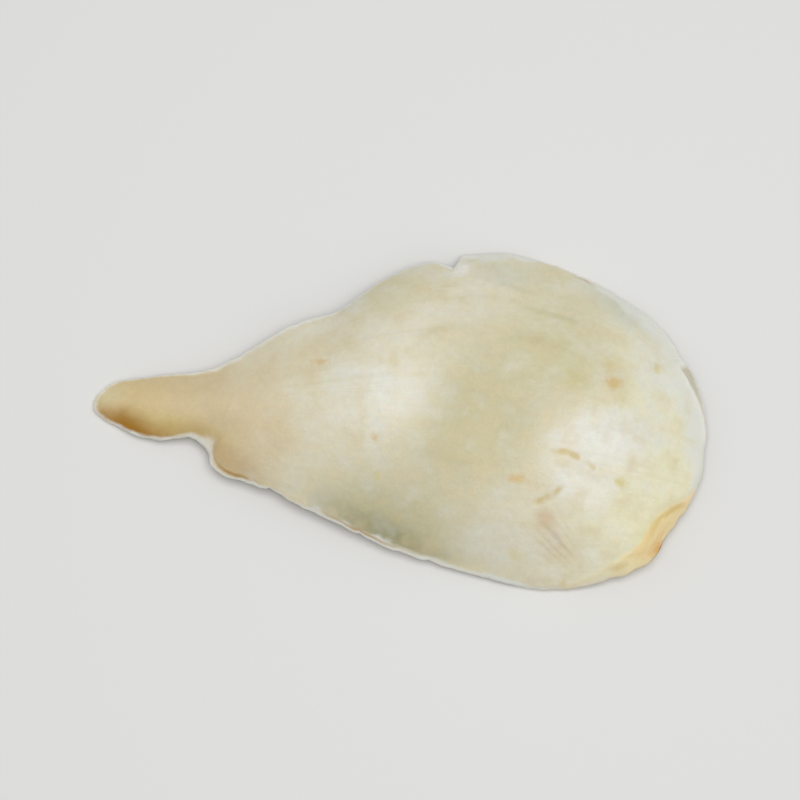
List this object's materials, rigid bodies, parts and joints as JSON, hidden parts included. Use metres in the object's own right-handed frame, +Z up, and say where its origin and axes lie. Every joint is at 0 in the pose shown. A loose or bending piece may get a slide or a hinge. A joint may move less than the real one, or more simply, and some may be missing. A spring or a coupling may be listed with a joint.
{
  "type": "dried lily bulb scale",
  "caption": "Dried scale of a lily bulb: a thin, spoon-shaped shell with a narrow curled tip, a chipped margin and a brown scar at its broad base, lying domed side up.",
  "frame": {"origin": "under the middle of the scale's box, on the surface that it lies on", "axes": "+X along the scale from its tip towards its broken base, +Z up, away from the surface, with the domed outer face up"},
  "size_m": [0.0499, 0.0274, 0.0075],
  "materials": {
    "scale_flesh": "horny dried plant flesh, satin, cream-white with peach-tan towards the tip and brown at the scar"
  },
  "bodies": {
    "root": {"bulb_scale": "scale_flesh"}
  },
  "joints": []
}
